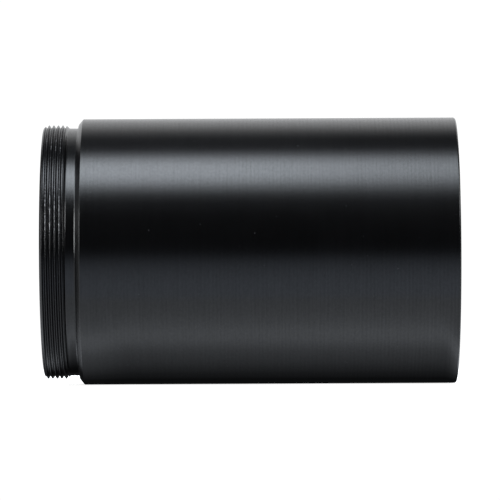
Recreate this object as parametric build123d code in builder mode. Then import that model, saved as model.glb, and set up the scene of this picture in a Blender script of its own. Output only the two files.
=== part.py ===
from build123d import *
from build123d.topology import SkipClean
import os
from math import cos, radians, sin, sqrt

# Threaded photographic barlow lens, lying on its side.
# +X is the optical axis, from the camera end to the telescope end, +Z is up.
# The origin is on the axis, in the seating shoulder that the camera thread screws up to.
# All dimensions are millimetres.

# ---- outside ----------------------------------------------------------------
barrel_r = 22.0          # casing radius
barrel_len = 62.2        # casing length, shoulder to telescope end
front_chamfer = 0.8      # casing edge at the shoulder
rear_chamfer = 0.22      # casing edge at the telescope end

# ---- M42 x 0.75 interface threads -------------------------------------------
pitch = 0.75
t2_major_r = 21.0        # crest of the male thread
t2_root_r = 20.54        # root of the male thread
t2_minor_r = 20.594      # crest of the female thread
t2_groove_r = 21.05      # root of the female thread
nose_len = 5.8           # male thread and neck, in front of the shoulder
neck_r = 20.475          # plain relief behind the male thread
neck_len = 1.6
thread_start = -156.0     # turn of the male thread's start about the axis, degrees
female_from = 55.75      # female thread starts here and runs to the telescope end
datum = 0.4              # both threaded tubes are turned this far forward of their place

# ---- nose ring --------------------------------------------------------------
nose_bore_r = 18.5
nose_seat_x = 1.5        # depth of the counterbore the neck stands in
nose_end_x = 7.5
joint_bore_r = 20.0      # plain crest of the casing's own inner threads
joint_crest_r = 19.95    # crest of what screws into it

# ---- baffle train -----------------------------------------------------------
sleeve_r = 19.9
sleeve_crest_r = 18.6
sleeve_root_r = 19.2
ledge_from, ledge_to = 33.4, 34.9
ledge_r = 18.9

# ---- lens cell --------------------------------------------------------------
cell_from, cell_seat, cell_to = 35.4, 53.0, 54.2
flange_r = 20.25
flange_bore_r = 20.35
cell_bore_r = 17.55
glass_r = 17.5
land_r = 16.7            # inner edge of the flat land around each concave face
stack_from = 37.0        # where the glass rests on the cell's lip

half_profile = Plane(origin=(0, 0, 0), x_dir=(1, 0, 0), z_dir=(0, 1, 0))
# the threaded tubes are parted and rejoined on this plane, so each turn of a
# thread's crest is two faces
seam = radians(37.0)
seam_plane = Plane(origin=(0, 0, 0), x_dir=(1, 0, 0), z_dir=(0, -cos(seam), -sin(seam)))


def ridges(x_from, x_to, r_crest, r_root, step, flat=0.06):
    """Points of a row of V grooves between two stations, x rising or falling."""
    way = 1 if x_to > x_from else -1
    count = int(abs(x_to - x_from) / step + 1e-6)
    spare = (abs(x_to - x_from) - count * step) / 2
    points = [(x_from, r_crest)]
    for i in range(count):
        a = x_from + way * (spare + i * step + flat / 2)
        points += [(a, r_crest),
                   (a + way * (step - flat) / 2, r_root),
                   (a + way * (step - flat), r_crest)]
    points.append((x_to, r_crest))
    kept = [points[0]]
    for p in points[1:]:
        if abs(p[0] - kept[-1][0]) + abs(p[1] - kept[-1][1]) > 1e-4:
            kept.append(p)
    return kept


def sag(radius, r):
    return radius - sqrt(radius * radius - r * r)


def turned_at(points):
    return [(x - datum, r) for x, r in points]


# ============================ outer barrel ===================================
# One turned tube: shoulder and counterbore for the nose ring at the front,
# an inner ledge between baffle train and lens cell, female interface thread behind.
barrel_points = (
    [(0, 20.9), (0, barrel_r - front_chamfer), (front_chamfer, barrel_r),
     (barrel_len - rear_chamfer, barrel_r), (barrel_len, barrel_r - rear_chamfer),
     (barrel_len, 21.2), (barrel_len - 0.6, t2_minor_r),
     (female_from, t2_minor_r), (female_from - 0.35, 21.1), (54.45, 21.1),
     (54.3, 20.9), (54.3, flange_bore_r), (cell_seat, flange_bore_r),
     (cell_seat, joint_bore_r + 0.15), (cell_seat - 0.15, joint_bore_r)]
    + ridges(52.4, 42.8, joint_bore_r, 20.4, pitch)
    + [(ledge_to + 0.2, joint_bore_r), (ledge_to, joint_bore_r - 0.2),
       (ledge_to, ledge_r + 0.15), (ledge_to - 0.15, ledge_r),
       (ledge_from, ledge_r), (ledge_from, joint_bore_r)]
    + ridges(10.6, 2.2, joint_bore_r, 20.4, pitch)
    + [(1.75, joint_bore_r), (nose_seat_x, joint_bore_r + 0.25),
       (nose_seat_x, 20.55), (0.35, 20.55)]
)

with BuildPart() as barrel_turning:
    with BuildSketch(Plane.XZ) as barrel_top:
        with BuildLine():
            Polyline(*turned_at(barrel_points), close=True)
        make_face()
    revolve(axis=Axis.X, revolution_arc=180, clean=False)
    with BuildSketch(half_profile) as barrel_bottom:
        with BuildLine():
            Polyline(*turned_at(barrel_points), close=True)
        make_face()
    revolve(axis=Axis.X, revolution_arc=180, clean=False)
    # helical groove of the female thread, cut outwards into the wall
    with BuildLine() as female_helix:
        Helix(pitch=pitch, height=barrel_len - female_from + 1.55, radius=t2_minor_r,
              center=(female_from - datum - 0.72, 0, 0), direction=(1, 0, 0))
    with BuildSketch(Plane(origin=female_helix.line @ 0,
                           x_dir=Vector(0, (female_helix.line @ 0).Y, (female_helix.line @ 0).Z),
                           z_dir=female_helix.line % 0)) as female_groove:
        with BuildLine():
            Polyline((-0.2, -0.44), (t2_groove_r - t2_minor_r, -0.062),
                     (t2_groove_r - t2_minor_r, 0.062), (-0.2, 0.44), close=True)
        make_face()
    sweep(path=female_helix.line, is_frenet=True, mode=Mode.SUBTRACT, clean=False)
barrel_one_side = split(barrel_turning.part, bisect_by=seam_plane, keep=Keep.TOP)
barrel_other_side = split(barrel_turning.part, bisect_by=seam_plane, keep=Keep.BOTTOM)
with SkipClean():
    with BuildPart() as outer_barrel:
        add(Pos(datum, 0, 0) * barrel_one_side)
        add(Pos(datum, 0, 0) * barrel_other_side)
outer_barrel.part.label = "outer_barrel"

# ============================ nose ring ======================================
# Carries the male interface thread; its spigot screws into the casing.
nose_points = (
    [(-nose_len, nose_bore_r + 0.35), (-nose_len, 20.52), (-nose_len + 0.48, t2_major_r),
     (-neck_len - (t2_major_r - neck_r), t2_major_r), (-neck_len, neck_r),
     (nose_seat_x, neck_r), (nose_seat_x, 19.35), (2.2, 19.35), (2.35, joint_crest_r)]
    + ridges(2.5, 7.0, joint_crest_r, 19.52, pitch)
    + [(nose_end_x, 19.5), (nose_end_x, 18.95), (nose_end_x - 0.15, 18.8), (5.5, 18.8),
       (5.5, nose_bore_r)]
    + ridges(5.0, -5.4, nose_bore_r, 18.78, 0.8)
    + [(-nose_len + 0.35, nose_bore_r)]
)

with BuildPart() as nose_turning:
    with BuildSketch(Plane.XZ) as nose_top:
        with BuildLine():
            Polyline(*turned_at(nose_points), close=True)
        make_face()
    revolve(axis=Axis.X, revolution_arc=180, clean=False)
    with BuildSketch(half_profile) as nose_bottom:
        with BuildLine():
            Polyline(*turned_at(nose_points), close=True)
        make_face()
    revolve(axis=Axis.X, revolution_arc=180, clean=False)
    # helical groove of the male thread, running out into the neck
    with BuildLine() as male_helix:
        Helix(pitch=pitch, height=nose_len + datum, radius=t2_major_r,
              center=(-nose_len - datum - 1.35, 0, 0), direction=(1, 0, 0))
    with BuildSketch(Plane(origin=male_helix.line @ 0,
                           x_dir=Vector(0, (male_helix.line @ 0).Y, (male_helix.line @ 0).Z),
                           z_dir=male_helix.line % 0)) as male_groove:
        with BuildLine():
            Polyline((0.06, -0.367), (t2_root_r - t2_major_r, -0.067),
                     (t2_root_r - t2_major_r, 0.067), (0.06, 0.367), close=True)
        make_face()
    sweep(path=male_helix.line, is_frenet=True, mode=Mode.SUBTRACT)
nose_one_side = split(nose_turning.part, bisect_by=seam_plane, keep=Keep.TOP)
nose_other_side = split(nose_turning.part, bisect_by=seam_plane, keep=Keep.BOTTOM)
with SkipClean():
    with BuildPart() as t2_nose_ring:
        add(Pos(datum, 0, 0) * Rot(thread_start, 0, 0) * nose_one_side)
        add(Pos(datum, 0, 0) * Rot(thread_start, 0, 0) * nose_other_side)
t2_nose_ring.part.label = "t2_nose_ring"

# ============================ nose aperture ring =============================
with BuildPart() as nose_aperture_ring:
    with BuildSketch(Plane.XZ) as aperture_profile:
        with BuildLine():
            Polyline((5.5, 18.75), (6.9, 18.75), (6.9, 18.5), (5.95, 17.75),
                     (5.6, 17.6), (5.5, 17.6), close=True)
        make_face()
    revolve(axis=Axis.X)
nose_aperture_ring.part.label = "nose_aperture_ring"

# ============================ baffle train ===================================
with BuildPart() as sleeve_retaining_ring:
    with BuildSketch(Plane.XZ) as sleeve_ring_profile:
        with BuildLine():
            Polyline(*([(8.4, 19.65), (8.65, joint_crest_r)]
                       + ridges(8.7, 10.2, joint_crest_r, 19.6, pitch)
                       + [(10.4, joint_crest_r), (10.4, 18.6), (10.2, 18.4),
                          (8.7, 18.4), (8.4, 18.7)]), close=True)
        make_face()
    revolve(axis=Axis.X)
    # two spanner slots across the front face
    with BuildSketch(Plane.YZ.offset(8.4)) as sleeve_ring_slots:
        Rectangle(1.6, 42)
    extrude(amount=0.9, mode=Mode.SUBTRACT)
sleeve_retaining_ring.part.label = "sleeve_retaining_ring"

with BuildPart() as front_baffle_sleeve:
    with BuildSketch(Plane.XZ) as front_sleeve_profile:
        with BuildLine():
            Polyline(*([(10.4, sleeve_crest_r), (10.4, sleeve_r - 0.2), (10.6, sleeve_r),
                        (20.8, sleeve_r), (21.0, sleeve_r - 0.2)]
                       + ridges(21.0, 10.6, sleeve_crest_r, sleeve_root_r, 1.0)), close=True)
        make_face()
    revolve(axis=Axis.X)
front_baffle_sleeve.part.label = "front_baffle_sleeve"

with BuildPart() as mid_knife_edge_baffle:
    with BuildSketch(Plane.XZ) as mid_baffle_profile:
        with BuildLine():
            Polyline((21.0, sleeve_r), (22.2, sleeve_r), (22.2, 18.7), (21.3, 17.3),
                     (21.1, 17.2), (21.0, 17.2), close=True)
        make_face()
    revolve(axis=Axis.X)
mid_knife_edge_baffle.part.label = "mid_knife_edge_baffle"

with BuildPart() as rear_baffle_sleeve:
    with BuildSketch(Plane.XZ) as rear_sleeve_profile:
        with BuildLine():
            Polyline(*([(22.2, sleeve_crest_r), (22.2, sleeve_r - 0.2), (22.4, sleeve_r),
                        (32.4, sleeve_r), (32.6, sleeve_r - 0.2)]
                       + ridges(32.6, 22.4, sleeve_crest_r, sleeve_root_r, 1.0)), close=True)
        make_face()
    revolve(axis=Axis.X)
rear_baffle_sleeve.part.label = "rear_baffle_sleeve"

with BuildPart() as rear_knife_edge_baffle:
    with BuildSketch(Plane.XZ) as rear_baffle_profile:
        with BuildLine():
            Polyline((32.6, sleeve_r), (33.4, sleeve_r), (33.4, 18.4), (32.85, 17.0),
                     (32.7, 16.9), (32.6, 16.9), close=True)
        make_face()
    revolve(axis=Axis.X)
rear_knife_edge_baffle.part.label = "rear_knife_edge_baffle"

# ============================ lens cell ======================================
with BuildPart() as cell_housing:
    with BuildSketch(Plane.XZ) as cell_profile:
        with BuildLine():
            Polyline(*([(cell_from, 17.35), (cell_from, 19.5), (cell_from + 0.4, 19.9),
                        (37.2, 19.9), (37.2, 18.7), (38.8, 18.7), (38.8, 19.9), (40.0, 19.9),
                        (40.2, 19.35), (42.8, 19.35), (43.0, joint_crest_r)]
                       + ridges(43.2, 52.1, joint_crest_r, 19.52, pitch)
                       + [(52.2, joint_crest_r), (52.3, 19.4), (cell_seat, 19.4),
                          (cell_seat, flange_r), (cell_to - 0.2, flange_r), (cell_to, flange_r - 0.2),
                          (cell_to, 18.3), (cell_to - 0.25, 17.95)]
                       + ridges(53.8, 51.4, 17.95, 18.28, pitch)
                       + [(51.2, 17.95), (51.2, cell_bore_r), (stack_from, cell_bore_r),
                          (stack_from, 16.6), (36.7, 16.6)]), close=True)
        make_face()
    revolve(axis=Axis.X)
    # two spanner slots across the flange
    with BuildSketch(Plane.YZ.offset(cell_to)) as cell_slots:
        Rectangle(42, 1.8)
    extrude(amount=-0.8, mode=Mode.SUBTRACT)
cell_housing.part.label = "cell_housing"

with BuildPart() as cell_o_ring:
    with BuildSketch(Plane.XZ) as o_ring_profile:
        with Locations((38.0, 19.33)):
            Circle(0.61)
    revolve(axis=Axis.X)
cell_o_ring.part.label = "cell_o_ring"

# plano-concave element, flat side on the cell's lip
field_to = 40.7
field_mid = field_to - sag(120.0, land_r)
with BuildPart() as field_element:
    with BuildSketch(Plane.XZ) as field_profile:
        with BuildLine():
            Line((stack_from, 0), (stack_from, glass_r - 0.12))
            Line((stack_from, glass_r - 0.12), (stack_from + 0.12, glass_r))
            Line((stack_from + 0.12, glass_r), (field_to - 0.12, glass_r))
            Line((field_to - 0.12, glass_r), (field_to, glass_r - 0.12))
            Line((field_to, glass_r - 0.12), (field_to, land_r))
            ThreePointArc((field_to, land_r),
                          (field_mid + sag(120.0, land_r / 2), land_r / 2), (field_mid, 0))
            Line((field_mid, 0), (stack_from, 0))
        make_face()
    revolve(axis=Axis.X)
field_element.part.label = "field_element"

spacer_to = 42.3
with BuildPart() as lens_spacer_ring:
    with BuildSketch(Plane.XZ) as spacer_profile:
        with BuildLine():
            Polyline((field_to, 16.95), (field_to, glass_r - 0.05), (spacer_to, glass_r - 0.05),
                     (spacer_to, 16.95), (41.9, 16.75), (41.1, 16.75), close=True)
        make_face()
    revolve(axis=Axis.X)
lens_spacer_ring.part.label = "lens_spacer_ring"

# cemented pair: meniscus flint, then biconcave crown towards the telescope
flint_edge = 44.8
flint_mid_back = spacer_to + sag(200.0, land_r)
flint_mid_front = flint_edge + sag(70.0, glass_r)
with BuildPart() as flint_element:
    with BuildSketch(Plane.XZ) as flint_profile:
        with BuildLine():
            ThreePointArc((flint_mid_back, 0),
                          (flint_mid_back - sag(200.0, land_r / 2), land_r / 2), (spacer_to, land_r))
            Line((spacer_to, land_r), (spacer_to, glass_r - 0.12))
            Line((spacer_to, glass_r - 0.12), (spacer_to + 0.12, glass_r))
            Line((spacer_to + 0.12, glass_r), (flint_edge, glass_r))
            ThreePointArc((flint_edge, glass_r),
                          (flint_mid_front - sag(70.0, glass_r / 2), glass_r / 2),
                          (flint_mid_front, 0))
            Line((flint_mid_front, 0), (flint_mid_back, 0))
        make_face()
    revolve(axis=Axis.X)
flint_element.part.label = "flint_element"

cement = 0.02
crown_to = 51.0
crown_mid_back = flint_mid_front + cement
crown_mid_front = crown_to - sag(90.0, land_r)
with BuildPart() as crown_element:
    with BuildSketch(Plane.XZ) as crown_profile:
        with BuildLine():
            ThreePointArc((crown_mid_back, 0),
                          (crown_mid_back - sag(70.0, glass_r / 2), glass_r / 2),
                          (flint_edge + cement, glass_r))
            Line((flint_edge + cement, glass_r), (crown_to - 0.12, glass_r))
            Line((crown_to - 0.12, glass_r), (crown_to, glass_r - 0.12))
            Line((crown_to, glass_r - 0.12), (crown_to, land_r))
            ThreePointArc((crown_to, land_r),
                          (crown_mid_front + sag(90.0, land_r / 2), land_r / 2),
                          (crown_mid_front, 0))
            Line((crown_mid_front, 0), (crown_mid_back, 0))
        make_face()
    revolve(axis=Axis.X)
crown_element.part.label = "crown_element"

with BuildPart() as cushion_ring:
    with BuildSketch(Plane.XZ) as cushion_profile:
        with Locations((crown_to + 0.25, 17.08)):
            Rectangle(0.5, 0.66)
    revolve(axis=Axis.X)
cushion_ring.part.label = "cushion_ring"

with BuildPart() as cell_retaining_ring:
    with BuildSketch(Plane.XZ) as cell_ring_profile:
        with BuildLine():
            Polyline(*([(51.5, 16.55), (51.5, 17.6), (51.7, 17.9)]
                       + ridges(51.8, 53.4, 17.9, 17.6, pitch)
                       + [(53.55, 17.9), (53.7, 17.75), (53.7, 17.1), (52.4, 16.55)]),
                     close=True)
        make_face()
    revolve(axis=Axis.X)
    # two spanner slots across the outer face
    with BuildSketch(Plane.YZ.offset(53.7)) as cell_ring_slots:
        Rectangle(1.6, 37)
    extrude(amount=-0.9, mode=Mode.SUBTRACT)
cell_retaining_ring.part.label = "cell_retaining_ring"

# ============================ export =========================================
os.makedirs("parts", exist_ok=True)
export_step(outer_barrel.part, "parts/outer_barrel.step")
export_step(t2_nose_ring.part, "parts/t2_nose_ring.step")
export_step(nose_aperture_ring.part, "parts/nose_aperture_ring.step")
export_step(sleeve_retaining_ring.part, "parts/sleeve_retaining_ring.step")
export_step(front_baffle_sleeve.part, "parts/front_baffle_sleeve.step")
export_step(mid_knife_edge_baffle.part, "parts/mid_knife_edge_baffle.step")
export_step(rear_baffle_sleeve.part, "parts/rear_baffle_sleeve.step")
export_step(rear_knife_edge_baffle.part, "parts/rear_knife_edge_baffle.step")
export_step(cell_housing.part, "parts/cell_housing.step")
export_step(cell_o_ring.part, "parts/cell_o_ring.step")
export_step(field_element.part, "parts/field_element.step")
export_step(lens_spacer_ring.part, "parts/lens_spacer_ring.step")
export_step(flint_element.part, "parts/flint_element.step")
export_step(crown_element.part, "parts/crown_element.step")
export_step(cushion_ring.part, "parts/cushion_ring.step")
export_step(cell_retaining_ring.part, "parts/cell_retaining_ring.step")
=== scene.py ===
import math

import bpy
import numpy as np
from mathutils import Matrix, Vector


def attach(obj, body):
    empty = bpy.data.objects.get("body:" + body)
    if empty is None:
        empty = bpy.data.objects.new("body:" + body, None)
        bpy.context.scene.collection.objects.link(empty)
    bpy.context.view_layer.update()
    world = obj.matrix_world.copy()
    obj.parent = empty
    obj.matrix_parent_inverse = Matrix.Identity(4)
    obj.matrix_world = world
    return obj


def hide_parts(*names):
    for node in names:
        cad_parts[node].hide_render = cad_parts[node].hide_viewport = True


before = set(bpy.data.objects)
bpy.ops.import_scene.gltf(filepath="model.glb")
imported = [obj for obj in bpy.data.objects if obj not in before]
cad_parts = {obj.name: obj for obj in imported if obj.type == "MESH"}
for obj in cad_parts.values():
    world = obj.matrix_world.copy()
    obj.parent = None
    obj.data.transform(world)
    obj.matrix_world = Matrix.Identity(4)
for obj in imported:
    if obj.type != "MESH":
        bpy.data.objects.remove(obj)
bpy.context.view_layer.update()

MM = 0.001
PITCH = 0.75
scene = bpy.context.scene
scene.view_settings.view_transform = "Standard"


# ------------------------------------------------------------------ mesh code
def ridges(x_from, x_to, r_crest, r_root, step, flat=0.06):
    """Profile points of a row of V grooves."""
    way = 1 if x_to > x_from else -1
    count = int(abs(x_to - x_from) / step + 1e-6)
    spare = (abs(x_to - x_from) - count * step) / 2
    pts = [(x_from, r_crest)]
    for i in range(count):
        a = x_from + way * (spare + i * step + flat / 2)
        pts += [(a, r_crest), (a + way * (step - flat) / 2, r_root), (a + way * (step - flat), r_crest)]
    pts.append((x_to, r_crest))
    kept = [pts[0]]
    for p in pts[1:]:
        if math.dist(p, kept[-1]) > 1e-4:
            kept.append(p)
    return kept


def soften(points, radius, steps=3, closed=True, support=0.05, special=None):
    """Rounds each corner of a profile with a small arc, and adds points just beside the arcs so that flats shade flat.

    special gives some corners, by index, a radius of their own.
    """
    out = []
    n = len(points)
    for i in range(n):
        p = np.array(points[i], float)
        if not closed and i in (0, n - 1):
            out.append(tuple(p))
            continue
        a, b = np.array(points[i - 1], float), np.array(points[(i + 1) % n], float)
        u, v = a - p, b - p
        lu, lv = np.linalg.norm(u), np.linalg.norm(v)
        u, v = u / lu, v / lv
        cosang = float(np.clip(u @ v, -1, 1))
        turn = math.pi - math.acos(cosang)
        if turn < math.radians(6):
            out.append(tuple(p))
            continue
        half = (math.pi - turn) / 2
        want = (special or {}).get(i, radius)
        cut = min(want / math.tan(half), 0.42 * lu, 0.42 * lv)
        r = cut * math.tan(half)
        centre = p + (u + v) / np.linalg.norm(u + v) * (r / math.sin(half))
        s, e = p + u * cut, p + v * cut
        if lu > 6 * (cut + support):
            out.append(tuple(s + u * support))
        a0 = math.atan2(*(s - centre)[::-1])
        a1 = math.atan2(*(e - centre)[::-1])
        d = (a1 - a0 + math.pi) % (2 * math.pi) - math.pi
        steps_here = steps if want < 0.15 else 2 * steps
        for k in range(steps_here + 1):
            t = a0 + d * k / steps_here
            out.append((centre[0] + r * math.cos(t), centre[1] + r * math.sin(t)))
        if lv > 6 * (cut + support):
            out.append(tuple(e + v * support))
    return out


def grid_object(name, X, R, theta, closed=True):
    """A turned surface: X and R in mm by profile row and angle column. Open profiles start and end on the axis."""
    rows, cols = X.shape
    ct, st = np.cos(theta), np.sin(theta)
    co = np.stack([X, R * ct, R * st], axis=-1).reshape(-1, 3) * MM
    j = np.arange(cols)
    jn = (j + 1) % cols
    last = rows if closed else rows - 1
    faces = []
    for i in range(last):
        k = (i + 1) % rows
        faces.append(np.stack([i * cols + j, i * cols + jn, k * cols + jn, k * cols + j], axis=-1))
    faces = np.concatenate(faces).tolist()
    mesh = bpy.data.meshes.new(name)
    verts = co.tolist()
    if not closed:
        # fans close the poles of a solid of revolution
        first, end = len(verts), len(verts) + 1
        verts.append([float(X[0, 0]) * MM, 0.0, 0.0])
        verts.append([float(X[-1, 0]) * MM, 0.0, 0.0])
        faces += [[first, int(jn[c]), int(j[c])] for c in range(cols)]
        base = (rows - 1) * cols
        faces += [[end, base + int(j[c]), base + int(jn[c])] for c in range(cols)]
    mesh.from_pydata(verts, [], faces)
    mesh.polygons.foreach_set("use_smooth", np.ones(len(mesh.polygons), bool))
    mesh.validate()
    mesh.update()
    obj = bpy.data.objects.new(name, mesh)
    scene.collection.objects.link(obj)
    return obj


def turned(name, points, cols=256, closed=True, start=0.0):
    theta = start + np.arange(cols) / cols * 2 * math.pi
    p = np.array(points)
    X = np.repeat(p[:, :1], cols, axis=1)
    R = np.repeat(p[:, 1:2], cols, axis=1)
    return grid_object(name, X, R, theta[None, :], closed)


def softmin(a, b, k):
    h = np.clip(0.5 + 0.5 * (b - a) / k, 0, 1)
    return b * (1 - h) + a * h - k * h * (1 - h)


def to_groove(x, theta, x_top):
    """Distance along the axis to the nearest groove centre of a right-hand thread whose groove passes x_top at the top."""
    at = x_top + PITCH * (theta - math.pi / 2) / (2 * math.pi)
    return np.abs((x - at + PITCH / 2) % PITCH - PITCH / 2)


# ------------------------------------------------------------------ nose ring
NOSE, NECK = 5.8, 1.6
BARREL, FEMALE = 62.2, 55.75
COLS = 384
theta = (np.arange(COLS) / COLS * 2 * math.pi)[None, :]

front = soften([(-NOSE + 0.8, 18.5), (-NOSE + 0.35, 18.5), (-NOSE, 18.85), (-NOSE, 20.52), (-NOSE + 0.3, 20.82)], 0.05, closed=False)[1:-1]
front = [p for p in front if p[0] <= -NOSE + 0.01 or p[1] < 20.0]
zone_x = np.arange(-NOSE + 0.02, -NECK + 0.14, 0.024)
run = -NECK - zone_x
foot = np.where(run > 0.088, run, 0.3 - np.sqrt(0.09 - np.clip(run + 0.124, 0, 0.212) ** 2))
env = np.minimum(np.minimum(20.52 + (zone_x + NOSE), 21.0), 20.475 + foot)
dx = to_groove(zone_x[:, None], theta, -2.325)
cut = 20.54 + np.maximum(dx - 0.067, 0) / 0.57735
zone_r = softmin(np.repeat(env[:, None], COLS, 1), cut, 0.028)
zone_r = np.minimum(zone_r, env[:, None])
# the neck flares into a small fillet where it meets the barrel, and the flare sits in the barrel's chamfered mouth
flare = [(-0.25 + 0.30 * math.sin(math.radians(a)), 20.775 - 0.30 * math.cos(math.radians(a))) for a in range(0, 85, 7)]
neck = ([(-NECK + 0.17, 20.475), (-NECK + 0.3, 20.475), (-0.45, 20.475)] + flare
        + [(0.05, 20.755), (0.06, 20.775), (0.08, 20.775), (0.10, 20.755), (0.35, 20.475), (1.2, 20.475), (1.4, 20.475), (1.5, 20.4), (1.5, 19.4), (1.6, 19.35), (2.2, 19.35)])
inner = ([(2.35, 19.95)] + ridges(2.5, 7.0, 19.95, 19.52, PITCH)
         + [(7.46, 19.54), (7.5, 19.48), (7.5, 18.95), (7.35, 18.8), (5.52, 18.8), (5.5, 18.78), (5.5, 18.52)]
         + ridges(5.0, -NOSE + 0.8, 18.5, 18.78, 0.8))
tail = neck + inner
rows_x = [np.full(COLS, p[0]) for p in front] + [np.full(COLS, x) for x in zone_x] + [np.full(COLS, p[0]) for p in tail]
rows_r = [np.full(COLS, p[1]) for p in front] + [zone_r[i] for i in range(len(zone_x))] + [np.full(COLS, p[1]) for p in tail]
nose_ring = grid_object("nose_ring", np.array(rows_x), np.array(rows_r), theta)
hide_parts("t2_nose_ring")
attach(nose_ring, "nose")

# ------------------------------------------------------------------ barrel
outside = soften([(0.7, 20.55), (0.41, 20.55), (0.02, 20.94), (0.02, 21.15), (0.74, 21.991), (BARREL - 0.22, 21.991), (BARREL, 21.78), (BARREL, 21.2),
                  (BARREL - 0.2, 21.0)], 0.07, closed=False, special={3: 0.12, 4: 0.06})[1:-1]
outside = [p for p in outside if not (p[0] > BARREL - 0.3 and p[1] < 21.19)]
fz = np.arange(BARREL - 0.01, FEMALE - 1e-6, -0.028)
fenv = np.maximum(21.2 - (BARREL - fz) / 0.6 * 0.606, 20.594)
fdx = to_groove(fz[:, None], theta, FEMALE - 0.72)
fcut = 21.05 - np.maximum(fdx - 0.062, 0) / 0.57735
fzone = -softmin(-np.repeat(fenv[:, None], COLS, 1), -fcut, 0.028)
fzone = np.maximum(fzone, fenv[:, None])
relief = ([(FEMALE - 0.05, 20.66), (FEMALE - 0.33, 21.07), (FEMALE - 0.4, 21.1), (54.5, 21.1), (54.43, 21.08), (54.3, 20.9), (54.3, 20.38), (54.27, 20.35),
           (53.03, 20.35), (53.0, 20.32), (53.0, 20.15), (52.85, 20.0)]
          + ridges(52.4, 42.8, 20.0, 20.4, PITCH)
          + [(35.1, 20.0), (34.9, 19.8), (34.9, 19.05), (34.75, 18.9), (33.43, 18.9), (33.4, 18.93), (33.4, 20.0)]
          + ridges(10.6, 2.2, 20.0, 20.4, PITCH)
          + [(1.75, 20.0), (1.5, 20.25), (1.5, 20.52), (1.47, 20.55), (0.52, 20.55)])
rows_x = [np.full(COLS, p[0]) for p in outside] + [np.full(COLS, x) for x in fz] + [np.full(COLS, p[0]) for p in relief]
rows_r = [np.full(COLS, p[1]) for p in outside] + [fzone[i] for i in range(len(fz))] + [np.full(COLS, p[1]) for p in relief]
barrel = grid_object("barrel", np.array(rows_x), np.array(rows_r), theta)
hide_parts("outer_barrel")
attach(barrel, "casing")


# ------------------------------------------------------------------ glass
def sag(radius, r):
    return radius - math.sqrt(radius * radius - r * r)


def cap(x_mid, radius, r_edge, sign, steps=26):
    """Points of a spherical face from near the axis out to r_edge. sign is +1 where the edge lies at larger x."""
    return [(x_mid + sign * sag(radius, r_edge * k / steps), r_edge * k / steps) for k in range(1, steps + 1)]


LAND, GR = 16.7, 17.5
field_to = 40.7
spacer_to = 42.3
flint_edge = 44.8
flint_front = flint_edge + sag(70.0, GR)
crown_to = 51.0


def lens(name, node, left, right):
    """left runs from the axis outwards on the -X side, right from the axis outwards on the +X side."""
    rim = soften([left[-2], left[-1], (left[-1][0], GR), (right[-1][0], GR), right[-1], right[-2]], 0.1, closed=False)[1:-1]
    pts = left[:-1] + rim + right[:-1][::-1]
    obj = turned(name, pts, cols=192, closed=False)
    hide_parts(node)
    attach(obj, "lens_stack")
    return obj


flat = [(37.0, 17.38 * k / 12) for k in range(1, 13)]
field = lens("field_lens", "field_element", flat, cap(field_to - sag(120.0, LAND), 120.0, LAND, 1))
flint = lens("flint_lens", "flint_element",
             cap(spacer_to + sag(200.0, LAND), 200.0, LAND, -1),
             cap(flint_front, 70.0, GR - 0.02, -1))
crown = lens("crown_lens", "crown_element",
             cap(flint_front + 0.02, 70.0, GR - 0.02, -1),
             cap(crown_to - sag(90.0, LAND), 90.0, LAND, 1))

# ------------------------------------------------------------------ soft rings
ring = [(38.0 + 0.61 * math.cos(a), 19.33 - 0.61 * math.sin(a)) for a in np.arange(20) / 20 * 2 * math.pi]
o_ring = turned("cell_seal", ring[::-1], cols=160)
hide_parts("cell_o_ring")
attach(o_ring, "lens_cell")

cushion = turned("glass_cushion", soften([(51.0, 16.75), (51.0, 17.41), (51.5, 17.41), (51.5, 16.75)], 0.1), cols=160)
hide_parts("cushion_ring")
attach(cushion, "lens_stack")


# ------------------------------------------------------------------ materials
class Tree:
    def __init__(self, name):
        self.mat = bpy.data.materials.new(name)
        self.mat.use_nodes = True
        self.t = self.mat.node_tree
        self.t.nodes.clear()
        self.out = self.t.nodes.new("ShaderNodeOutputMaterial")

    def new(self, kind, **inputs):
        n = self.t.nodes.new(kind)
        for k, v in inputs.items():
            if k.startswith("_"):
                setattr(n, k[1:], v)
            else:
                n.inputs[k.replace("__", " ")].default_value = v
        return n

    def link(self, a, b):
        self.t.links.new(a, b)

    def math(self, op, a, b=None, clamp=False):
        n = self.t.nodes.new("ShaderNodeMath")
        n.operation = op
        n.use_clamp = clamp
        for i, v in enumerate((a, b)):
            if v is None:
                continue
            if isinstance(v, (int, float)):
                n.inputs[i].default_value = v
            else:
                self.link(v, n.inputs[i])
        return n.outputs[0]

    def span(self, v, lo, hi, a=0.0, b=1.0):
        n = self.t.nodes.new("ShaderNodeMapRange")
        n.interpolation_type = "SMOOTHSTEP"
        self.link(v, n.inputs["Value"])
        for k, x in (("From Min", lo), ("From Max", hi), ("To Min", a), ("To Max", b)):
            n.inputs[k].default_value = x
        return n.outputs["Result"]

    def mix(self, fac, a, b):
        n = self.t.nodes.new("ShaderNodeMix")
        n.data_type = "RGBA"
        if isinstance(fac, (int, float)):
            n.inputs["Factor"].default_value = fac
        else:
            self.link(fac, n.inputs["Factor"])
        for s, v in ((n.inputs[6], a), (n.inputs[7], b)):
            if isinstance(v, tuple):
                s.default_value = (*v, 1.0)
            else:
                self.link(v, s)
        return n.outputs[2]


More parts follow.
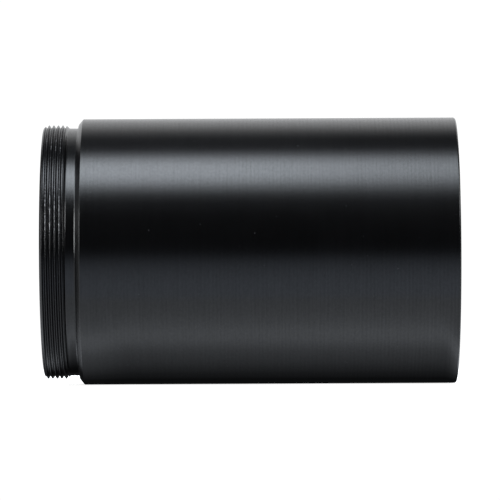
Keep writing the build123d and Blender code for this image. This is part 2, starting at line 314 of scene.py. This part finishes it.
def turned_coordinates(t):
    """Object coordinates in millimetres, with the radius and the distance round the axis."""
    tc = t.new("ShaderNodeTexCoord")
    sep = t.new("ShaderNodeSeparateXYZ")
    mm = t.new("ShaderNodeVectorMath", _operation="SCALE")
    t.link(tc.outputs["Object"], mm.inputs[0])
    mm.inputs["Scale"].default_value = 1000.0
    t.link(mm.outputs[0], sep.inputs[0])
    x, y, z = sep.outputs
    r = t.math("SQRT", t.math("ADD", t.math("MULTIPLY", y, y), t.math("MULTIPLY", z, z)))
    return mm.outputs[0], x, y, z, r


def stretched(t, v, sx, sy, sz):
    n = t.new("ShaderNodeMapping")
    t.link(v, n.inputs["Vector"])
    n.inputs["Scale"].default_value = (sx, sy, sz)
    return n.outputs[0]


def noise(t, v, scale, detail=2.0, rough=0.5, dims="3D"):
    n = t.new("ShaderNodeTexNoise")
    n.noise_dimensions = dims
    if dims == "1D":
        t.link(v, n.inputs["W"])
    else:
        t.link(v, n.inputs["Vector"])
    n.inputs["Scale"].default_value = scale
    n.inputs["Detail"].default_value = detail
    n.inputs["Roughness"].default_value = rough
    return n.outputs["Fac"]


def anodised(name, base=(0.0006, 0.0006, 0.0007), rough=0.20, lines=1.0):
    """Black satin anodising over a turned surface."""
    t = Tree(name)
    v, x, y, z, r = turned_coordinates(t)
    # turning marks run round the axis, so they change along x and hardly at all round it
    v_lines = stretched(t, v, 1.0, 0.02, 0.02)
    fine = noise(t, v_lines, 6.0, 3.0, 0.6)
    coarse = noise(t, v_lines, 1.6, 2.0, 0.5)
    feed = t.math("SINE", t.math("MULTIPLY", x, 2 * math.pi / 0.62))
    grain = noise(t, v, 5.0, 3.0, 0.6)
    mottle = noise(t, v, 2.6, 3.0, 0.6)
    cloud = noise(t, v, 0.12, 2.0, 0.5)
    speck = noise(t, v, 1.9, 1.0, 0.5)
    bsdf = t.new("ShaderNodeBsdfPrincipled")
    bsdf.inputs["IOR"].default_value = 1.5
    bsdf.inputs["Specular IOR Level"].default_value = 0.36
    bsdf.inputs["Coat IOR"].default_value = 1.5
    bsdf.inputs["Coat Roughness"].default_value = rough
    # the tool's feed leaves lines about 0.6 mm apart, clearer towards the telescope end
    feed_w = t.math("ADD", t.math("MULTIPLY", feed, 0.5), 0.5)
    clear = t.span(x, 5.0, 55.0, 0.35, 1.0)
    wave = t.math("MULTIPLY", t.math("MULTIPLY", feed_w, clear), 0.085)
    film = t.math("ADD", t.math("ADD", wave, t.math("MULTIPLY", fine, 0.34)), t.math("MULTIPLY", mottle, 0.50))
    t.link(t.math("ADD", film, -0.14), bsdf.inputs["Coat Weight"])
    tint = t.mix(t.span(cloud, 0.35, 0.65), base, tuple(c * 1.35 for c in base))
    dust = t.span(speck, 0.80, 0.82)
    tint = t.mix(t.math("MULTIPLY", dust, 0.25), tint, (0.12, 0.12, 0.125))
    rr = t.math("ADD", rough - 0.03, t.math("MULTIPLY", fine, 0.05))
    rr = t.math("ADD", rr, t.math("MULTIPLY", cloud, 0.02))
    height = t.math("ADD", t.math("MULTIPLY", fine, 0.55), t.math("MULTIPLY", coarse, 0.35))
    height = t.math("ADD", height, t.math("MULTIPLY", feed, 0.10))
    height = t.math("ADD", height, t.math("MULTIPLY", grain, 0.55))
    bump = t.new("ShaderNodeBump")
    bump.inputs["Strength"].default_value = 0.6 * lines
    bump.inputs["Distance"].default_value = 0.000009
    t.link(height, bump.inputs["Height"])
    colour = tint
    t.link(colour, bsdf.inputs["Base Color"])
    t.link(rr, bsdf.inputs["Roughness"])
    t.link(bump.outputs[0], bsdf.inputs["Normal"])
    t.link(bump.outputs[0], bsdf.inputs["Coat Normal"])
    t.link(bsdf.outputs[0], t.out.inputs["Surface"])
    return t.mat


def thread_black(name, crest_lo, crest_hi):
    """Anodised thread: dull cut flanks; bare-metal crests where wear chips them at random, and in a painted highlight
    band on the upper front.
    """
    t = Tree(name)
    v, x, y, z, r = turned_coordinates(t)
    grain = noise(t, v, 9.0, 4.0, 0.65)
    chips = noise(t, v, 1.9, 4.0, 0.75)
    tiny = noise(t, v, 7.0, 2.0, 0.5)
    bsdf = t.new("ShaderNodeBsdfPrincipled")
    bsdf.inputs["IOR"].default_value = 1.5
    bsdf.inputs["Specular IOR Level"].default_value = 0.5
    crest = t.span(r, crest_lo, crest_hi)
    # painted highlight: bare-metal crests in a band on the upper front, where the side light glints, plus real wear in
    # random patches and nicks
    patch = noise(t, v, 0.11, 1.0, 0.5)
    painted_glint_band = t.math("MULTIPLY", t.math("MULTIPLY", t.span(z, 2.2, 4.6), t.span(z, 12.0, 8.0)), t.span(y, 0.0, -8.0))
    wear_and_glint_patch = t.math("MAXIMUM", painted_glint_band, t.span(patch, 0.60, 0.70, 0.0, 0.4))
    wear_and_glint = t.math("MULTIPLY", t.math("MULTIPLY", crest, wear_and_glint_patch), t.span(chips, 0.46, 0.62, 0.06, 0.8))
    nick = t.math("MULTIPLY", t.math("MULTIPLY", crest, t.span(tiny, 0.69, 0.75)), 0.6)
    bright = t.math("MAXIMUM", wear_and_glint, nick)
    # bare-metal colour on the crests: real wear at random places, painted highlight in the upper front band
    t.link(t.mix(bright, (0.0030, 0.0030, 0.0033), (0.30, 0.30, 0.31)), bsdf.inputs["Base Color"])
    t.link(t.math("MULTIPLY", bright, 0.9), bsdf.inputs["Metallic"])
    t.link(t.math("ADD", 0.17, t.math("ADD", t.math("MULTIPLY", grain, 0.08), t.math("MULTIPLY", bright, 0.22))), bsdf.inputs["Roughness"])
    bump = t.new("ShaderNodeBump")
    bump.inputs["Strength"].default_value = 0.5
    bump.inputs["Distance"].default_value = 0.000012
    t.link(grain, bump.inputs["Height"])
    t.link(bump.outputs[0], bsdf.inputs["Normal"])
    t.link(bsdf.outputs[0], t.out.inputs["Surface"])
    return t.mat


def matt_black(name):
    t = Tree(name)
    v, x, y, z, r = turned_coordinates(t)
    grain = noise(t, v, 9.0, 4.0, 0.65)
    cloud = noise(t, v, 0.3, 2.0, 0.5)
    bsdf = t.new("ShaderNodeBsdfPrincipled")
    bsdf.inputs["IOR"].default_value = 1.45
    t.link(t.mix(t.span(cloud, 0.3, 0.7), (0.006, 0.006, 0.0065), (0.011, 0.011, 0.0115)), bsdf.inputs["Base Color"])
    t.link(t.math("ADD", 0.52, t.math("MULTIPLY", grain, 0.16)), bsdf.inputs["Roughness"])
    bump = t.new("ShaderNodeBump")
    bump.inputs["Strength"].default_value = 0.5
    bump.inputs["Distance"].default_value = 0.00002
    t.link(grain, bump.inputs["Height"])
    t.link(bump.outputs[0], bsdf.inputs["Normal"])
    t.link(bsdf.outputs[0], t.out.inputs["Surface"])
    return t.mat


def glass(name, tint, coat):
    t = Tree(name)
    v, x, y, z, r = turned_coordinates(t)
    smear = noise(t, stretched(t, v, 1.0, 0.6, 1.4), 0.25, 3.0, 0.5)
    bsdf = t.new("ShaderNodeBsdfPrincipled")
    bsdf.inputs["Base Color"].default_value = (*tint, 1.0)
    bsdf.inputs["Transmission Weight"].default_value = 1.0
    bsdf.inputs["IOR"].default_value = 1.52
    bsdf.inputs["Specular Tint"].default_value = (*coat, 1.0)
    # only the ground rim is rough; the polished faces carry the faintest film
    rim = t.span(r, 17.3, 17.42)
    t.link(t.math("ADD", t.math("MULTIPLY", rim, 0.55), t.math("MULTIPLY", t.span(smear, 0.45, 0.8), 0.002)),
           bsdf.inputs["Roughness"])
    t.link(bsdf.outputs[0], t.out.inputs["Surface"])
    return t.mat


def rubber(name):
    t = Tree(name)
    v, x, y, z, r = turned_coordinates(t)
    grain = noise(t, v, 5.0, 4.0, 0.6)
    bsdf = t.new("ShaderNodeBsdfPrincipled")
    t.link(t.mix(t.span(grain, 0.35, 0.65), (0.010, 0.010, 0.010), (0.018, 0.018, 0.018)), bsdf.inputs["Base Color"])
    t.link(t.math("ADD", 0.42, t.math("MULTIPLY", grain, 0.15)), bsdf.inputs["Roughness"])
    t.link(bsdf.outputs[0], t.out.inputs["Surface"])
    return t.mat


def ptfe(name):
    t = Tree(name)
    v, x, y, z, r = turned_coordinates(t)
    grain = noise(t, v, 3.0, 3.0, 0.6)
    bsdf = t.new("ShaderNodeBsdfPrincipled")
    bsdf.inputs["Subsurface Weight"].default_value = 0.2
    bsdf.inputs["Subsurface Radius"].default_value = (0.0006, 0.0006, 0.0005)
    t.link(t.mix(t.span(grain, 0.35, 0.65), (0.62, 0.62, 0.60), (0.70, 0.70, 0.68)), bsdf.inputs["Base Color"])
    t.link(t.math("ADD", 0.38, t.math("MULTIPLY", grain, 0.12)), bsdf.inputs["Roughness"])
    t.link(bsdf.outputs[0], t.out.inputs["Surface"])
    return t.mat


M_BARREL = anodised("barrel_anodised")
M_NOSE = anodised("nose_anodised")
M_NOSE_THREAD = thread_black("nose_thread", 20.93, 20.975)
M_BARREL_THREAD = thread_black("barrel_thread", 20.67, 20.60)
M_CELL = anodised("cell_anodised", base=(0.008, 0.008, 0.0085), rough=0.36)
M_MATT = matt_black("baffle_black")
M_GLASS = glass("coated_glass", (0.94, 0.985, 0.965), (0.62, 0.85, 0.95))
M_GLASS2 = glass("coated_flint", (0.975, 0.985, 0.93), (0.75, 0.62, 0.95))
M_RUBBER = rubber("seal_rubber")
M_PTFE = ptfe("cushion_ptfe")


def coat(obj, mat):
    obj.data.materials.clear()
    obj.data.materials.append(mat)
    obj.data.polygons.foreach_set("material_index", np.zeros(len(obj.data.polygons), np.int32))


def coat_thread(obj, mat, x_lo, x_hi, r_lo, r_hi):
    """A second material on the faces of the thread."""
    obj.data.materials.append(mat)
    n = len(obj.data.polygons)
    c = np.empty(n * 3)
    obj.data.polygons.foreach_get("center", c)
    c = c.reshape(n, 3) / MM
    r = np.hypot(c[:, 1], c[:, 2])
    zone = (c[:, 0] > x_lo) & (c[:, 0] < x_hi) & (r > r_lo) & (r < r_hi)
    obj.data.polygons.foreach_set("material_index", zone.astype(np.int32))


coat(barrel, M_BARREL)
coat_thread(barrel, M_BARREL_THREAD, FEMALE - 0.2, BARREL - 0.2, 20.5, 21.15)
coat(nose_ring, M_NOSE)
coat_thread(nose_ring, M_NOSE_THREAD, -NOSE + 0.02, -NECK - 0.45, 20.4, 21.1)
coat(field, M_GLASS)
coat(flint, M_GLASS2)
coat(crown, M_GLASS)
coat(o_ring, M_RUBBER)
coat(cushion, M_PTFE)
for node, mat in (("nose_aperture_ring", M_MATT), ("sleeve_retaining_ring", M_CELL), ("front_baffle_sleeve", M_MATT),
                  ("mid_knife_edge_baffle", M_MATT), ("rear_baffle_sleeve", M_MATT), ("rear_knife_edge_baffle", M_MATT),
                  ("cell_housing", M_CELL), ("cell_retaining_ring", M_CELL), ("lens_spacer_ring", M_MATT)):
    coat(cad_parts[node], mat)

# ------------------------------------------------------------------ stage
floor_z = -22.0 * MM - 0.0002
fm = bpy.data.meshes.new("floor")
s = 3.0
fm.from_pydata([(-s, -s, floor_z), (s, -s, floor_z), (s, s, floor_z), (-s, s, floor_z)], [], [(0, 1, 2, 3)])
floor = bpy.data.objects.new("floor", fm)
scene.collection.objects.link(floor)
t = Tree("studio_floor")
lp = t.new("ShaderNodeLightPath")
tc = t.new("ShaderNodeTexCoord")
sep = t.new("ShaderNodeSeparateXYZ")
t.link(tc.outputs["Object"], sep.inputs[0])
fy = t.math("MULTIPLY", sep.outputs[1], 1000.0)


def curve(t, v, lo, hi, stops):
    """A smooth colour curve over lo..hi. stops are (position, (r, g, b)) with the colours as light levels."""
    top = max(max(c) for _, c in stops)
    n = t.new("ShaderNodeValToRGB")
    n.color_ramp.interpolation = "LINEAR"
    e = n.color_ramp.elements
    while len(e) > 1:
        e.remove(e[0])
    for i, (p, c) in enumerate(stops):
        q = e[0] if i == 0 else e.new((p - lo) / (hi - lo))
        q.position = (p - lo) / (hi - lo)
        q.color = (*[k / top for k in c], 1.0)
    m = t.new("ShaderNodeMapRange")
    t.link(v, m.inputs["Value"])
    m.inputs["From Min"].default_value = lo
    m.inputs["From Max"].default_value = hi
    t.link(m.outputs["Result"], n.inputs["Fac"])
    return n.outputs["Color"], top


# painted shadow and light: the floor's emission that the part reflects and is lit by, by distance in front of the axis;
# a painted contact shadow under the barrel, brightest about 20 mm in front
NEAR_PAINTED_SHADOW = [(-40.0, 0.78), (-34.0, 0.80), (-28.0, 0.88), (-24.0, 1.02), (-20.5, 1.20), (-18.0, 1.12), (-16.4, 0.87),
        (-14.5, 0.58), (-12.8, 0.41), (-11.0, 0.27), (-9.2, 0.14), (-7.2, 0.055), (-4.8, 0.013), (0.0, 0.005)]
# painted light: farther in front the floor's emission fades with distance
FAR_PAINTED_FALLOFF = [(-500.0, 0.08), (-320.0, 0.14), (-220.0, 0.24), (-136.0, 0.40), (-88.0, 0.57), (-66.0, 0.69), (-46.0, 0.78), (-36.0, 0.80)]
TINT = (0.90, 1.0, 1.17)
NEAR_TINT = (0.94, 1.0, 1.08)
# painted light: the painted shadow under the barrel narrows towards both ends, and the floor's emission beyond the ends
# is raised
fx = t.math("MULTIPLY", sep.outputs[0], 1000.0)
ends = t.math("ADD", t.span(fx, 9.0, 1.0, 0.0, 0.13), t.span(fx, 60.0, 63.5, 0.0, 0.55))
past = t.math("ADD", t.span(fx, -1.0, -5.0, 0.0, 1.6), t.span(fx, 63.0, 67.0, 0.0, 2.0))
ends = t.math("ADD", ends, past)
reach = t.math("MULTIPLY", fy, t.math("ADD", ends, 1.0))
near_c, near_top = curve(t, reach, -40.0, 0.0, [(p, tuple(v * k for k in NEAR_TINT)) for p, v in NEAR_PAINTED_SHADOW])
far_c, far_top = curve(t, fy, -500.0, -36.0, [(p, tuple(v * k for k in TINT)) for p, v in FAR_PAINTED_FALLOFF])
painted_shadow_glow = t.new("ShaderNodeEmission")
painted_shadow_glow.inputs["Strength"].default_value = near_top
t.link(near_c, painted_shadow_glow.inputs["Color"])
painted_falloff_glow = t.new("ShaderNodeEmission")
painted_falloff_glow.inputs["Strength"].default_value = far_top
t.link(far_c, painted_falloff_glow.inputs["Color"])
# painted shadow: behind the part the floor's emission is dark near the contact and brighter farther back
painted_rear_shadow = t.new("ShaderNodeEmission")
painted_rear_shadow.inputs["Color"].default_value = (0.97, 1.0, 1.04, 1)
t.link(t.span(fy, 2.0, 70.0, 0.02, 0.75), painted_rear_shadow.inputs["Strength"])
a_mix = t.new("ShaderNodeMixShader")
t.link(t.span(fy, -40.0, -36.0), a_mix.inputs[0])
t.link(painted_falloff_glow.outputs[0], a_mix.inputs[1])
t.link(painted_shadow_glow.outputs[0], a_mix.inputs[2])
b_mix = t.new("ShaderNodeMixShader")
t.link(t.span(fy, -1.0, 2.0), b_mix.inputs[0])
t.link(a_mix.outputs[0], b_mix.inputs[1])
t.link(painted_rear_shadow.outputs[0], b_mix.inputs[2])
# painted light: beside both ends the floor's emission is raised, as if the table there lay in full light
painted_open_light = t.new("ShaderNodeEmission")
painted_open_light.inputs["Color"].default_value = (0.97, 1.0, 1.04, 1)
t.link(t.span(fy, -20.0, 12.0, 0.80, 1.3), painted_open_light.inputs["Strength"])
c_mix = t.new("ShaderNodeMixShader")
beside = t.math("MAXIMUM", t.span(fx, -9.0, -40.0), t.span(fx, 72.0, 105.0))
t.link(t.math("MULTIPLY", beside, t.span(fy, -110.0, -50.0)), c_mix.inputs[0])
t.link(b_mix.outputs[0], c_mix.inputs[1])
t.link(painted_open_light.outputs[0], c_mix.inputs[2])
# what the camera sees of the floor: pure white paper, with a soft shadow under and behind the part
paper = t.new("ShaderNodeBsdfDiffuse")
paper.inputs["Color"].default_value = (0.9, 0.9, 0.9, 1)
glow = t.new("ShaderNodeEmission")
glow.inputs["Color"].default_value = (1, 1, 1, 1)
glow.inputs["Strength"].default_value = 0.72
shaded = t.new("ShaderNodeAddShader")
t.link(paper.outputs[0], shaded.inputs[0])
t.link(glow.outputs[0], shaded.inputs[1])
white = t.new("ShaderNodeEmission")
white.inputs["Color"].default_value = (1, 1, 1, 1)
white.inputs["Strength"].default_value = 1.05
seen = t.new("ShaderNodeMixShader")
near_x = t.math("MULTIPLY", t.span(fx, -75.0, -20.0), t.span(fx, 135.0, 75.0))
near_y = t.math("MULTIPLY", t.span(fy, -1.0, 8.0), t.span(fy, 130.0, 40.0))
t.link(t.math("MULTIPLY", near_x, near_y), seen.inputs[0])
t.link(white.outputs[0], seen.inputs[1])
t.link(shaded.outputs[0], seen.inputs[2])
pick = t.new("ShaderNodeMixShader")
# the lenses show the same white table and backdrop as the open air does
t.link(t.math("MAXIMUM", lp.outputs["Is Camera Ray"], lp.outputs["Is Transmission Ray"]), pick.inputs[0])
t.link(c_mix.outputs[0], pick.inputs[1])
t.link(seen.outputs[0], pick.inputs[2])
t.link(pick.outputs[0], t.out.inputs["Surface"])
fm.materials.append(t.mat)

# ------------------------------------------------------------------ light
world = bpy.data.worlds.new("studio")
scene.world = world
world.use_nodes = True
w = world.node_tree
w.nodes.clear()
wout = w.nodes.new("ShaderNodeOutputWorld")
bg_seen = w.nodes.new("ShaderNodeBackground")
bg_seen.inputs["Color"].default_value = (1, 1, 1, 1)
bg_seen.inputs["Strength"].default_value = 1.05
bg_lit = w.nodes.new("ShaderNodeBackground")
wmix = w.nodes.new("ShaderNodeMixShader")
wlp = w.nodes.new("ShaderNodeLightPath")
wtc = w.nodes.new("ShaderNodeTexCoord")
wsep = w.nodes.new("ShaderNodeSeparateXYZ")
w.links.new(wtc.outputs["Generated"], wsep.inputs[0])


def wmath(op, a, b=None, clamp=False):
    n = w.nodes.new("ShaderNodeMath")
    n.operation = op
    n.use_clamp = clamp
    for i, v in enumerate((a, b)):
        if v is None:
            continue
        if isinstance(v, (int, float)):
            n.inputs[i].default_value = v
        else:
            w.links.new(v, n.inputs[i])
    return n.outputs[0]


def wspan(v, lo, hi, a, b):
    n = w.nodes.new("ShaderNodeMapRange")
    n.interpolation_type = "SMOOTHSTEP"
    w.links.new(v, n.inputs["Value"])
    for k, x in (("From Min", lo), ("From Max", hi), ("To Min", a), ("To Max", b)):
        n.inputs[k].default_value = x
    return n.outputs["Result"]


wy, wz = wsep.outputs[1], wsep.outputs[2]
# bright low backdrop behind, dark room in front
wx = wmath("ABSOLUTE", wsep.outputs[0])
back = wmath("MULTIPLY", wspan(wy, 0.40, 0.80, 0.0, 0.79), wspan(wx, 0.70, 0.45, 0.0, 1.0))
side = wspan(wx, 0.70, 0.97, 0.0, 0.36)
level = wmath("ADD", wmath("MAXIMUM", back, side), 0.015)
wcol = w.nodes.new("ShaderNodeCombineColor")
for i, k in enumerate((0.99, 1.0, 1.02)):
    w.links.new(wmath("MULTIPLY", level, k), wcol.inputs[i])
w.links.new(wcol.outputs[0], bg_lit.inputs["Color"])
w.links.new(wmath("MAXIMUM", wlp.outputs["Is Camera Ray"], wlp.outputs["Is Transmission Ray"]), wmix.inputs[0])
w.links.new(bg_lit.outputs[0], wmix.inputs[1])
w.links.new(bg_seen.outputs[0], wmix.inputs[2])
w.links.new(wmix.outputs[0], wout.inputs["Surface"])


def softbox(name, at, aim, size_x, size_y, radiance, colour=(1, 1, 1)):
    d = bpy.data.lights.new(name, "AREA")
    d.shape = "RECTANGLE"
    d.size, d.size_y = size_x, size_y
    d.energy = radiance * math.pi * size_x * size_y
    d.color = colour
    o = bpy.data.objects.new(name, d)
    scene.collection.objects.link(o)
    o.location = at
    look = Vector(aim) - Vector(at)
    zaxis = -look.normalized()
    xaxis = Vector((1, 0, 0)) if abs(zaxis.x) < 0.9 else Vector((0, 1, 0))
    yaxis = zaxis.cross(xaxis).normalized()
    xaxis = yaxis.cross(zaxis).normalized()
    m = Matrix((xaxis, yaxis, zaxis)).transposed().to_4x4()
    m.translation = Vector(at)
    o.matrix_world = m
    o.visible_camera = False
    return o


def overhead(name, x, size_x, low, high, dist, radiance, colour):
    """A softbox over and in front of the part that spans the elevations low..high as seen from the axis."""
    e = math.radians((low + high) / 2)
    span = 2 * dist * math.tan(math.radians((high - low) / 2))
    softbox(name, (x, -dist * math.cos(e), dist * math.sin(e)), (x, 0, 0), size_x, span, radiance, colour)


# the softbox fades towards its edges, so it is built of strips, each (from, to, level) in degrees of elevation
COOL = (0.92, 1.0, 1.085)
for i, (lo, hi, level) in enumerate(((34, 46, 0.05), (46, 52, 0.32), (52, 58.5, 1.18), (58.5, 65, 2.75), (65, 81, 4.10), (81, 87.5, 2.65), (87.5, 94, 0.72), (94, 122, 0.047))):
    overhead("key_strip_%d" % i, 0.0, 1.1, lo, hi, 0.60, level, COOL)
for i, (lo, hi, level) in enumerate(((52, 58.5, 0.70), (58.5, 65, 2.5), (65, 73, 2.9), (73, 81, 2.5), (81, 87.5, 1.5), (87.5, 94, 0.40), (94, 122, 0.047))):
    overhead("left_strip_%d" % i, -0.50, 1.1, lo, hi, 0.59, level, COOL)
# low side boxes: they only light the ends, the chamfers and the flanks of the threads
softbox("left_front", (-0.689, -0.431, 0.23), (0, 0, 0), 0.50, 0.42, 12.0, (0.97, 1.0, 1.03))
softbox("right_front", (0.51, -0.51, 0.40), (0, 0, 0), 0.34, 0.30, 9.0, (0.97, 1.0, 1.03))
softbox("right_side", (0.86, 0.14, 0.34), (0.06, 0, 0), 0.40, 0.24, 1.3, (0.97, 1.0, 1.03))

# ------------------------------------------------------------------ camera
cam_data = bpy.data.cameras.new("camera")
cam = bpy.data.objects.new("camera", cam_data)
scene.collection.objects.link(cam)
scene.camera = cam
cam_data.sensor_width = 36.0
cam_data.lens = 303.9
cam_data.clip_start, cam_data.clip_end = 0.05, 50.0
yaw = math.radians(-0.08)
roll = math.radians(0.282)
dist = 0.700
target = Vector((0.02818, 0.0, 0.00019))
back_dir = Vector((-math.sin(yaw), -math.cos(yaw), 0.0))
cam.location = target + back_dir * dist
q = (-back_dir).to_track_quat("-Z", "Y")
cam.rotation_mode = "QUATERNION"
cam.rotation_quaternion = q @ Matrix.Rotation(-roll, 3, "Z").to_quaternion()
